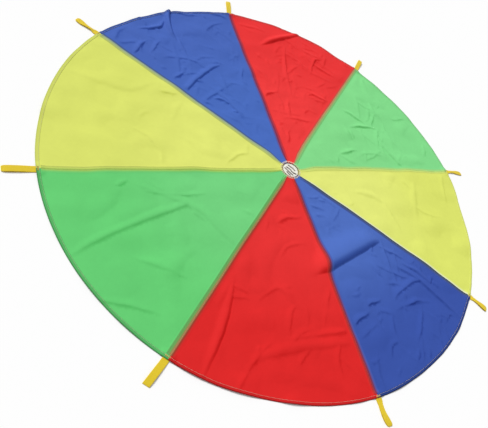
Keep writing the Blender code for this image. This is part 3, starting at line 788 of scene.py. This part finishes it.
# At each seam, the colours of the cloth where it lies double, with painted shade in the dark lines along and
# beside the folded edge: the lap's far part, its near part and its folded edge, then the turnings on the
# other side, close by and further off.
seam_tones_and_shade = {
    1: ((204, 214, 106), (188, 206, 98), (172, 202, 94), (146, 201, 102), (112, 201, 112)),
    2: ((104, 172, 96), (112, 158, 86), (165, 120, 80), (150, 58, 42), (205, 46, 42)),
    3: ((205, 50, 46), (176, 44, 54), (124, 54, 88), (102, 80, 138), (72, 92, 172)),
    4: ((72, 90, 158), (68, 84, 120), (66, 80, 82), (236, 240, 205), (218, 228, 134)),
    5: ((214, 224, 114), (202, 220, 116), (184, 218, 122), (162, 213, 125), (146, 211, 129)),
    6: ((126, 198, 121), (142, 176, 108), (185, 140, 98), (182, 88, 66), (218, 62, 60)),
    7: ((208, 54, 60), (164, 50, 72), (128, 58, 96), (104, 78, 134), (78, 96, 174)),
    8: ((186, 198, 106), (172, 188, 120), (150, 170, 146), (95, 115, 130), (60, 84, 136)),
}
# The thread that overlocks each folded edge: its colour, and how far in from the edge it runs in mm.
overlocks = {
    1: ((172, 198, 100), 1.0),
    2: ((205, 180, 120), 0.5),
    3: ((190, 90, 60), 5.0),
    4: ((244, 244, 228), -2.0),
    5: ((186, 205, 120), 1.0),
    6: ((214, 190, 135), 0.5),
    7: ((120, 40, 70), 2.0),
    8: ((205, 210, 175), 1.5),
}
overlock_swing = 0.0012
overlock_step = 0.0021
overlock_lift = lap_top + 0.0003
overlock_thread = 0.00042
# How far inside the lap's ends the threads start and end, how far the row of stitches lies from the
# lap's far edge, and each stitch's pitch, length and width.
overlock_start = 0.004
row_start = 0.006
row_end = 0.002
row_inset = 0.0035
seam_stitch = (0.0040, 0.0032, 0.0010)
stitch_lift = lap_top + 0.0001
# The lap's section: places across it and lifts, and which of seven colours each place has. Its lower
# corners lie inside the gores.
lap_section = (
    (-0.0190, 0.0003, 6),
    (-0.0160, 0.0006, 6),
    (-0.0105, 0.0007, 5),
    (-0.0042, 0.0008, 4),
    (-0.0012, 0.0009, 3),
    (0.0, lap_top, 3),
    (0.0018, lap_top, 3),
    (0.0065, lap_top, 2),
    (0.0120, 0.0010, 1),
    (0.0145, 0.0008, 1),
    (0.0158, 0.0006, 0),
    (0.0190, 0.0003, 0),
    (0.0100, -0.0003, 1),
    (0.0, -0.0003, 3),
    (-0.0100, -0.0003, 5),
)


def close_band(points, ring, cyclic=False):
    """A closed skin round rings of points, each ring with the same number of corners."""
    count = len(points) // ring
    mesh = bpy.data.meshes.new("mesh")
    faces = []
    for step in range(count if cyclic else count - 1):
        here, there = step * ring, (step + 1) % count * ring
        for corner in range(ring):
            after = (corner + 1) % ring
            faces.append((here + corner, here + after, there + after, there + corner))
    if not cyclic:
        faces.append(tuple(range(ring))[::-1])
        faces.append(tuple((count - 1) * ring + corner for corner in range(ring)))
    mesh.from_pydata(points.tolist(), [], faces)
    shape = bmesh.new()
    shape.from_mesh(mesh)
    bmesh.ops.recalc_face_normals(shape, faces=shape.faces[:])
    shape.to_mesh(mesh)
    shape.free()
    mesh.shade_smooth()
    return mesh


sharp_angle = math.radians(60)


def cloth_band(spine, across, section, cyclic=False):
    """A strip on the cloth along a flat line. The section's corners are places across it and lifts."""
    offsets, lifts = np.array([corner[:2] for corner in section]).T
    flat = spine[:, None, :] + across[:, None, :] * offsets[None, :, None]
    points = lay(flat.reshape(-1, 2), np.tile(lifts, len(spine)))
    mesh = close_band(points, len(section), cyclic)
    mesh.set_sharp_from_angle(angle=sharp_angle)
    return mesh


def tube(points, radius, sides, cyclic=False):
    """Thread: a thin round tube along points."""
    if cyclic:
        run = np.roll(points, -1, axis=0) - np.roll(points, 1, axis=0)
    else:
        run = np.gradient(points, axis=0)
    run /= np.linalg.norm(run, axis=1)[:, None]
    side = np.cross(run, (0.0, 0.0, 1.0))
    side /= np.linalg.norm(side, axis=1)[:, None]
    rise = np.cross(side, run)
    turns = np.arange(sides) * math.tau / sides
    ring = np.cos(turns)[None, :, None] * side[:, None, :] + np.sin(turns)[None, :, None] * rise[:, None, :]
    return close_band((points[:, None, :] + radius * ring).reshape(-1, 3), sides, cyclic)


def zigzag_swing(steps):
    """Runs straight from 0 at the even steps to 1 at the odd ones."""
    return 1 - np.abs(steps % 2 - 1)


def running_stitches(spine, pitch, length, width, lift):
    """A row of single stitches along a flat line, each a small rounded dash that dips at its ends."""
    gaps = np.linalg.norm(np.diff(spine, axis=0), axis=1)
    places = np.concatenate([[0], np.cumsum(gaps)])
    centres = np.arange(pitch / 2, places[-1] - pitch / 2, pitch)
    step = 1e-4
    middle, ahead = (
        np.c_[np.interp(at, places, spine[:, 0]), np.interp(at, places, spine[:, 1])]
        for at in (centres, centres + step)
    )
    run = (ahead - middle) / step
    left = np.c_[-run[:, 1], run[:, 0]]
    corners = [(-0.5, 0, -0.5)]
    for way in (-0.28, 0.28):
        corners += [(way, 0.5, 0.2), (way, 0, 1.0), (way, -0.5, 0.2), (way, 0, -0.5)]
    corners.append((0.5, 0, -0.5))
    corners = np.array(corners)
    flat = middle[:, None] + run[:, None] * corners[None, :, :1] * length
    flat += left[:, None] * corners[None, :, 1:2] * width
    points = lay(flat.reshape(-1, 2), np.tile(lift + corners[:, 2] * width * 0.7, len(middle)))
    faces = []
    for stitch in range(len(middle)):
        base = stitch * 10
        for corner in range(4):
            after = (corner + 1) % 4
            faces.append((base, base + 1 + after, base + 1 + corner))
            faces.append((base + 1 + corner, base + 1 + after, base + 5 + after, base + 5 + corner))
            faces.append((base + 9, base + 5 + corner, base + 5 + after))
    mesh = bpy.data.meshes.new("mesh")
    mesh.from_pydata(points.tolist(), [], faces)
    mesh.shade_smooth()
    return mesh


def thread_finish(name, colour):
    """Spun thread: a matt twist with a little change of tone."""
    finish = Finish(bpy.data.materials.new(name))
    place = finish.place()
    twist = finish.noise(place, 900.0, 2.0)
    soil = finish.noise(place, 40.0, 2.0)
    shade = finish.mix(0.5 * twist + 0.5 * soil, darker(colour, 0.78), darker(colour, 1.12))
    return finish.surface(shade, 0.75 + 0.1 * soil, 0.2, 0.0002 * twist, 0.6, Sheen_Weight=0.2)


for seam, levels in seam_tones_and_shade.items():
    tones_and_shade = [srgb(*look) for look in levels]
    side = 1 if seam == turned_lap else -1
    gore_below = seam if side == 1 else (seam - 2) % gore_count + 1
    gore_beside = seam if side == -1 else (seam - 2) % gore_count + 1
    bends = meets_fold(seam) and seam != turned_lap
    radii = seam_radii[(seam_radii > lap_inner_radius) & (seam_radii < lap_outer_radius)]
    spine = beside_seam(seam, radii, 0.0)
    widening = ease((radii - lap_narrow_end) / lap_narrow_ramp)
    narrowed = side * (lap_least_share + (1 - lap_least_share) * widening)
    along, left = seam_direction(seam)
    mesh = cloth_band(spine, narrowed[:, None] * left, lap_section)
    shades = [gore_colour(gore_below, radii)] + [np.tile(look, (len(radii), 1)) for look in tones_and_shade]
    shades.append(gore_colour(gore_beside, radii))
    picks = [corner[2] for corner in lap_section]
    # The lap's points take these colours, painted shade included.
    dye_and_shade(mesh, np.stack([shades[pick] for pick in picks], axis=1).reshape(-1, 3))
    finish = taffeta(f"lap_{seam}_cloth", (gore_below - 0.5) * gore_angle)
    lap = add_piece(f"lap_{seam}", mesh, finish, bends)
    f"{gore_hues[gore_below - 1]}_taffeta"

    stitch_radii = np.arange(lap_inner_radius + row_start, lap_outer_radius - row_end, seam_stitch[0])
    row = beside_seam(seam, stitch_radii, side * (lap_width - row_inset))
    mesh = running_stitches(row, *seam_stitch, stitch_lift)
    finish = thread_finish(f"seam_{seam}_thread", darker(tones_and_shade[0], 0.8))
    stitches = add_piece(f"seam_stitches_{seam}", mesh, finish, bends)
    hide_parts(f"seam_thread_{seam}")

    levels, inset = overlocks[seam]
    radii = np.arange(lap_inner_radius + overlock_start, lap_outer_radius - row_end, overlock_step / 2)
    swing = 0.001 * inset + overlock_swing * (2 * zigzag_swing(np.arange(len(radii)) / 2) - 1)
    flat = radii[:, None] * along + (side * swing)[:, None] * left
    mesh = tube(lay(flat, overlock_lift), overlock_thread, sides=4)
    finish = thread_finish(f"overlock_{seam}_thread", srgb(*levels))
    overlock = add_piece(f"overlock_{seam}", mesh, finish, bends)


# Hems. The rim of each gore is turned up over itself and sewn down with one row of pale stitches.
hem_width = 0.012
hem_section = (
    (-hem_width, 0.0002),
    (-hem_width + 0.0003, 0.0009),
    (-hem_width + 0.0015, 0.0012),
    (-0.0035, 0.0013),
    (-0.0012, 0.0014),
    (0.0004, 0.0011),
    (0.0010, 0.0004),
    (0.0005, -0.0003),
    (-0.0012, -0.0006),
)
hem_steps = 150
hem_shaded_edge_width = 0.002
hem_stitch = (0.0042, 0.0036, 0.0007)
hem_stitch_lift = 0.0013
hem_stitch_inset = 0.0022
# How much of its gore's colour each hem keeps, lying double, and at its very edge, where the darker colour
# is painted shade.
hem_shades = (
    (0.72, 0.42),
    (0.80, 0.42),
    (0.58, 0.24),
    (0.92, 0.74),
    (0.88, 0.52),
    (0.86, 0.40),
    (0.76, 0.32),
    (0.92, 0.74),
)
hem_thread = thread_finish("hem_thread", srgb(242, 228, 206))
for number, (band_share, shaded_edge_share) in enumerate(hem_shades, start=1):
    turns = np.linspace(number - 1, number, hem_steps) * gore_angle
    outwards = np.c_[np.cos(turns), np.sin(turns)]
    mesh = cloth_band(canopy_radius * outwards, outwards, hem_section)
    # The outer edge takes the lower share: painted shade.
    shares = [band_share if offset < -hem_shaded_edge_width else shaded_edge_share for offset, _ in hem_section]
    dye_and_shade(mesh, np.tile(np.outer(shares, gore_colour(number, canopy_radius)[0]), (len(turns), 1)))
    finish = taffeta(f"hem_{number}_cloth", (number - 0.5) * gore_angle)
    hem = add_piece(f"hem_{number}", mesh, finish, meets_fold(number))
    row = (canopy_radius - hem_width + hem_stitch_inset) * outwards
    mesh = running_stitches(row, *hem_stitch, hem_stitch_lift)
    stitches = add_piece(f"hem_stitches_{number}", mesh, hem_thread, meets_fold(number))
    if number == 2:
        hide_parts("hem_thread_near")
    if number == 6:
        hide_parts("hem_thread_far")


# Handle loops. A length of 25 mm yellow webbing is doubled back on itself, and its two ends are sewn
# under the hem at each seam. Each loop has been left lying in its own way.
rim_to_hinge = 0.004
hinge_radius = canopy_radius + rim_to_hinge
loop_length = 0.098
loop_swell = 0.0041
loop_seam_length = 0.008
twist_start_share = 0.20
twist_end_share = 0.75
ribbon_thickness = 0.0013
layer_gap = 0.00005
ribbon_steps = 34
tail_steps = 13
# Along its length, as shares of it: where a curl grows, ends and fades, and where the tip begins. A
# round tip is narrower at its end, and bends back sharply.
curl_start = 0.15
curl_end = 0.75
curl_fade = 0.4
tip_start = 0.86
tip_narrowing = 0.75
tip_sharpness = 14
# How each loop lies: lean and sway as shares of its length, twist as a share of a quarter turn, swell
# as a share of the usual one, how far its tip is raised as a share of its length, its stretch, how far
# it is curled in near its root as a share of its width, and how round its tip is.
loop_lies = {
    1: (-0.02, 0.0, 0.0, 0.35, 0.0, 1.0, 0.0, 0.5),
    2: (-0.07, 0.0, 0.0, 0.35, 0.0, 1.0, 0.0, 0.0),
    3: (0.05, -0.06, 0.0, 0.35, 0.0, 1.0, 0.22, 0.9),
    4: (-0.10, 0.0, 0.0, 0.5, 0.0, 1.0, 0.34, 1.0),
    5: (-0.15, 0.03, -0.08, 0.25, 0.0, 1.16, 0.40, 1.0),
    6: (0.06, 0.0, 0.0, 0.4, 0.05, 1.02, 0.0, 0.7),
    7: (-0.20, 0.0, 0.0, 0.4, 0.0, 1.0, 0.0, 0.7),
    8: (0.0, 0.03, 0.12, 0.25, 0.0, 1.0, 0.45, 1.0),
}
ribbon_section = (
    (-1.0, 0.3),
    (-0.97, 0.75),
    (-0.90, 1.0),
    (-0.6, 0.94),
    (-0.3, 0.98),
    (0.0, 0.94),
    (0.3, 0.98),
    (0.6, 0.94),
    (0.90, 1.0),
    (0.97, 0.75),
    (1.0, 0.3),
)


def drop_depth(share):
    """The half width of a drop at a share of its length, 1 at its widest."""
    return 2 * share * np.sqrt(np.maximum(0, 1 - share)) / (4 / (3 * math.sqrt(3)))


def ribbon_mesh(number):
    """The doubled webbing of one handle as one closed ribbon, out along its lower layer and back."""
    lean, sway, twist, swell_share, tip_rise, stretch, curl, roundness = loop_lies[number]
    swell = loop_swell * swell_share
    out = np.sin(np.linspace(0, math.pi / 2, ribbon_steps))
    reach = loop_length - ribbon_thickness / 2 - loop_seam_length
    free_along = loop_seam_length + reach * out
    half_apart = (ribbon_thickness + layer_gap) / 2
    free_high = half_apart * np.sqrt(np.maximum(0, 1 - out**tip_sharpness)) + swell * drop_depth(out)
    root = np.linspace(-rim_to_hinge - tail_length, loop_seam_length, tail_steps)[:-1]
    along = np.concatenate([root, free_along])
    high = np.concatenate([np.full(len(root), half_apart), free_high])
    path = np.vstack([np.c_[along, -high], np.c_[along, high][::-1][1:]])
    run = np.gradient(path, axis=0)
    run /= np.linalg.norm(run, axis=1)[:, None]
    normal = np.c_[-run[:, 1], run[:, 0]]
    ring = [(side, depth) for side, depth in ribbon_section]
    ring += [(side, -depth) for side, depth in reversed(ribbon_section)]
    side, depth = np.array(ring).T
    side = np.tile(side * webbing_width / 2, len(path))
    depth = np.tile(depth * ribbon_thickness / 2, len(path))
    place = np.repeat(path, len(ring), axis=0) + np.repeat(normal, len(ring), axis=0) * depth[:, None]
    along, high = place.T
    share = np.clip((along - loop_seam_length) / (loop_length - loop_seam_length), 0, 1)
    turn = math.pi / 2 * twist * ease(share / twist_start_share)
    turn *= ease((twist_end_share - share) / (twist_end_share - twist_start_share))
    centre = webbing_width / 2 * np.abs(np.sin(turn)) + loop_length * tip_rise * share**2
    centre += (webbing_thickness + swell * drop_depth(share)) * np.cos(turn)
    sideways = loop_length * (lean * share + sway * np.sin(math.pi * share)) + loop_slides[number]
    curled = curl * ease(share / curl_start) * ease((curl_end - share) / curl_fade)
    tip = np.maximum(0, share - tip_start) / (1 - tip_start)
    side *= (1 - curled) * np.sqrt(1 - tip_narrowing * roundness * tip**2)
    outward, left = seam_direction(number)
    plan = (hinge_radius + along * (1 + (stretch - 1) * (along > 0)))[:, None] * outward
    plan += (sideways + side * np.cos(turn) - high * np.sin(turn))[:, None] * left
    height = centre + side * np.sin(turn) + high * np.cos(turn)
    return close_band(np.c_[plan, height], len(ring))


def webbing_finish(colour):
    """Flat woven webbing: ribs across it, a tight selvedge, fuzz and slightly soiled high spots."""
    finish = Finish(bpy.data.materials.new("yellow_webbing_weave"))
    place = finish.place()
    rib = finish.stripes(place, 260.0, 0.5, 2.0, wave_type="RINGS", rings_direction="Z")
    fuzz = finish.noise(place, 700.0, 3.0)
    soil = finish.noise(place, 30.0, 3.0)
    tone = 0.35 * rib + 0.3 * fuzz + 0.35 * soil
    shade = finish.mix(tone, darker(colour, 0.80), darker(colour, 1.12))
    relief = 0.00025 * rib + 0.00012 * fuzz
    return finish.surface(shade, 0.68 + 0.15 * fuzz, 0.2, relief, 0.8, Sheen_Weight=0.15)


webbing = webbing_finish(srgb(232, 203, 44))
for number in range(1, gore_count + 1):
    mesh = ribbon_mesh(number)
    mesh.materials.append(webbing)
    handle = add_object(f"handle_{number}", mesh)
    outward = seam_direction(number)[0]
    half = "near_half" if 1 < number <= gore_count // 2 else "far_half"
    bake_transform(handle)
    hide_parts(f"handle_loop_{number}", f"handle_tail_{number}")


# Bar tacks. A dense zigzag of thread through the hem and the webbing's ends holds each handle.
tack_width = 0.019
tack_inner = 0.0080
tack_outer = 0.0020
tack_zigzags = 9
tack_lift = 0.0017
tack_radius = 0.00032
tack_thread = thread_finish("tack_thread", srgb(232, 208, 120))
for number in range(1, gore_count + 1):
    steps = np.arange(8 * tack_zigzags + 1) / 4
    inset = tack_outer + (tack_inner - tack_outer) * zigzag_swing(steps)
    swing = tack_width * (steps / (2 * tack_zigzags) - 0.5)
    outward, left = seam_direction(number)
    laid = (canopy_radius - inset)[:, None] * outward + (swing + loop_slides[number])[:, None] * left
    mesh = tube(raise_off_floor(laid, tack_lift), tack_radius, sides=6)
    tack = add_piece(f"tack_{number}", mesh, tack_thread, number in (1, 2, 3, 4, 5))
    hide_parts(f"bar_tack_{number}")


# Vent net. A round of knitted white net lies under the gores' inner ends and closes the vent. It is
# larger than the hole, so it wrinkles.
net_mesh_pitch = 0.0032
net_strand = 0.0026
net_flatness = 0.3
net_lift = 0.0006
net_wrinkles = (
    (3.0, 2.6, ((0.003, -0.029), (-0.006, -0.018), (-0.014, -0.010), (-0.020, 0.001))),
    (3.5, 3.0, ((0.015, -0.018), (0.002, -0.004), (-0.006, 0.012), (-0.019, 0.021))),
    (3.0, 2.6, ((0.025, -0.013), (0.016, 0.000), (0.009, 0.012), (-0.001, 0.026))),
    (2.6, 2.4, ((0.022, 0.007), (0.018, 0.017), (0.012, 0.025))),
)
net_wrinkle_pitch = 0.002
net_free_ramp = 0.008
net_turn = math.radians(38)
net_sharp_angle = math.radians(40)
# Painted shade darkens the net along its wrinkles, a little to their shaded side. Given are how far to each
# side it reaches, how full it is, and where it lies beside the wrinkle.
net_painted_shade_width = 0.0040
net_painted_shade_strength = 1.7
net_shade_shift = (-0.0008, 0.0019)


def net_height(x, y):
    """The net's height above the floor, with its wrinkles, flat where the gores hold it."""
    total = np.zeros(len(x))
    for height, width, points in net_wrinkles:
        line = smooth_line(points, net_wrinkle_pitch)
        apart = np.hypot(x[:, None] - line[:, 0], y[:, None] - line[:, 1]).min(1)
        total += (0.001 * height * np.exp(-((apart / (0.001 * width)) ** 2))) ** 2
    free = ease((vent_radius - np.hypot(x, y)) / net_free_ramp)
    return net_lift + np.sqrt(total) * free


def net_finish():
    """Knitted polyester net: soft white, a little darker where it is soiled, with its points' own colours,
    which carry painted shade along the wrinkles.
    """
    finish = Finish(bpy.data.materials.new("white_net_knit"))
    place = finish.place()
    knit = finish.noise(place, 800.0, 2.0)
    soil = finish.noise(place, 70.0, 3.0)
    tone = finish.mix(0.4 * knit + 0.6 * soil, (0.94,) * 3, (1.0,) * 3)
    shade = finish.mix(1.0, finish.dyed_and_shaded(), tone, "MULTIPLY")
    return finish.surface(shade, 0.7 + 0.1 * soil, 0.2, 0.00008 * knit, 0.6, Sheen_Weight=0.1)


count = int(net_radius / net_mesh_pitch) + 2
cells = [
    (column, row)
    for column in range(-count, count)
    for row in range(-count, count)
    if math.hypot(column + 0.5, row + 0.5) * net_mesh_pitch < net_radius - 0.0005
]
knots = sorted({(column + a, row + b) for column, row in cells for a in (0, 1) for b in (0, 1)})
index_of = {knot: index for index, knot in enumerate(knots)}
places = np.array(knots, float) * net_mesh_pitch
across, down = (math.cos(net_turn), math.sin(net_turn)), (-math.sin(net_turn), math.cos(net_turn))
places = places @ np.array((across, down))
net_mesh = bpy.data.meshes.new("net")
net_mesh.from_pydata(
    np.c_[places, net_height(places[:, 0], places[:, 1])].tolist(),
    [],
    [[index_of[(c + a, r + b)] for a, b in ((0, 0), (1, 0), (1, 1), (0, 1))] for c, r in cells],
)
net = add_object("net", net_mesh)
strands = net.modifiers.new("strands", "WIREFRAME")
strands.thickness = net_strand
strands.use_even_offset = False
strands.use_boundary = True
bpy.context.view_layer.update()
made = bpy.data.meshes.new_from_object(net.evaluated_get(bpy.context.evaluated_depsgraph_get()))
net.modifiers.clear()
net.data = made
made.shade_smooth()
spots = np.array([tuple(vertex.co) for vertex in made.vertices])
level = net_height(spots[:, 0], spots[:, 1])
spots[:, 2] = level + net_flatness * (spots[:, 2] - level)
made.vertices.foreach_set("co", spots.ravel())
made.set_sharp_from_angle(angle=net_sharp_angle)
beside = np.full(len(spots), 1.0)
for _, _, points in net_wrinkles:
    line = smooth_line(points, net_wrinkle_pitch) + net_shade_shift
    apart = np.hypot(spots[:, 0, None] - line[:, 0], spots[:, 1, None] - line[:, 1]).min(1)
    beside = np.minimum(beside, apart)
# Painted shade: the net's points turn dark brown beside its wrinkles.
painted_shade = ease(net_painted_shade_strength * (1 - beside / net_painted_shade_width))[:, None]
dye_and_shade(made, painted_shade * np.array(srgb(70, 42, 20)) + (1 - painted_shade) * np.array(srgb(255, 253, 240)))
made.materials.append(net_finish())
sew_to_half(net, True)
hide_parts("vent_net")


# Zigzag. A folded binding and a close zigzag of pale thread sew the gores' inner ends to the net.
ring_inner = vent_radius - 0.0005
ring_outer = vent_radius + 0.0045
zigzag_inner_radius = vent_radius + 0.0030
zigzag_outer_radius = net_radius + 0.0030
zigzag_count = 30
zigzag_radius = 0.0009
# The thread lies higher on the binding than on the cloth beyond it.
zigzag_lift = 0.0018
zigzag_drop = 0.0006
binding_steps = 96
binding_colour = srgb(104, 62, 34)
binding_share = 0.75
turns = np.linspace(0, math.tau, binding_steps, endpoint=False)
outwards = np.c_[np.cos(turns), np.sin(turns)]
ring_middle = (ring_inner + ring_outer) / 2
half_ring = (ring_outer - ring_inner) / 2
ring_section = (
    (-half_ring, 0.0002),
    (-0.9 * half_ring, 0.0010),
    (-0.5 * half_ring, 0.0017),
    (0.0, 0.0019),
    (0.5 * half_ring, 0.0017),
    (0.9 * half_ring, 0.0010),
    (half_ring, 0.0002),
)
mesh = cloth_band(ring_middle * outwards, outwards, ring_section, cyclic=True)
shades = np.vstack([gore_colour(int(turn // gore_angle) + 1, ring_outer) for turn in turns])
shades = (1 - binding_share) * shades + binding_share * np.array(binding_colour)
dye_and_shade(mesh, np.repeat(shades, len(ring_section), axis=0))
binding = add_piece("vent_binding", mesh, taffeta("vent_binding_cloth", 0.0), True)

steps = np.arange(8 * zigzag_count) / 4
swing = zigzag_swing(steps)
radius = zigzag_inner_radius + (zigzag_outer_radius - zigzag_inner_radius) * swing
turn = math.pi * steps / zigzag_count
flat = radius[:, None] * np.c_[np.cos(turn), np.sin(turn)]
mesh = tube(lay(flat, zigzag_lift - zigzag_drop * swing), zigzag_radius, sides=6, cyclic=True)
zigzag = add_piece("vent_zigzag_thread", mesh, thread_finish("vent_thread", srgb(254, 242, 216)), True)
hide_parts("vent_zigzag")
